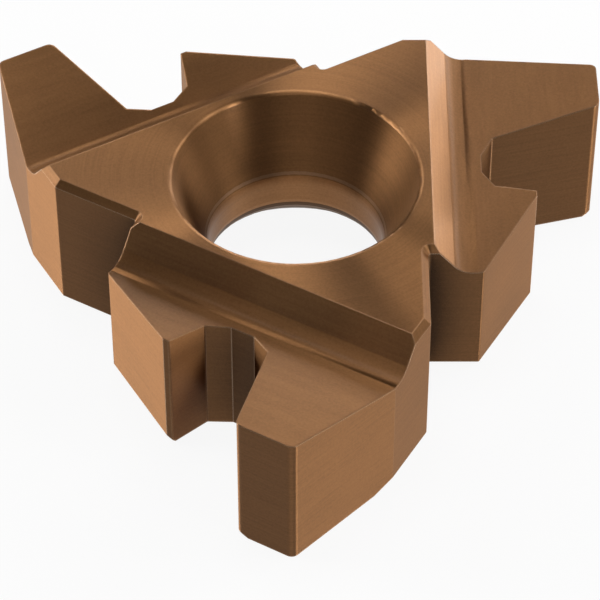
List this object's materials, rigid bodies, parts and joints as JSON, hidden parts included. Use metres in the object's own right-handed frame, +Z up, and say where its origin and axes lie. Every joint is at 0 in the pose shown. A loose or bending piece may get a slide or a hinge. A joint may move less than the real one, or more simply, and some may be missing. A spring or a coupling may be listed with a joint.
{
  "type": "threading insert",
  "caption": "Flat triangular laydown threading insert with a tooth form, chip groove and relief notch at each corner and a countersunk screw bore.",
  "frame": {"origin": "on the axis of the screw bore, in the plane of the flat seating face that the insert lies on", "axes": "+Z up along the bore, from the seating face to the grooved top face; +X square out of the first straight side of the blank; the first corner's teeth point to -Y"},
  "size_m": [0.0169, 0.0185, 0.0049],
  "materials": {
    "coated_carbide": "cemented carbide under a bronze-brown satin coating, with fine pressing and grinding grain and thin bright honed edges"
  },
  "bodies": {
    "root": {"threading_insert": "coated_carbide"}
  },
  "joints": []
}
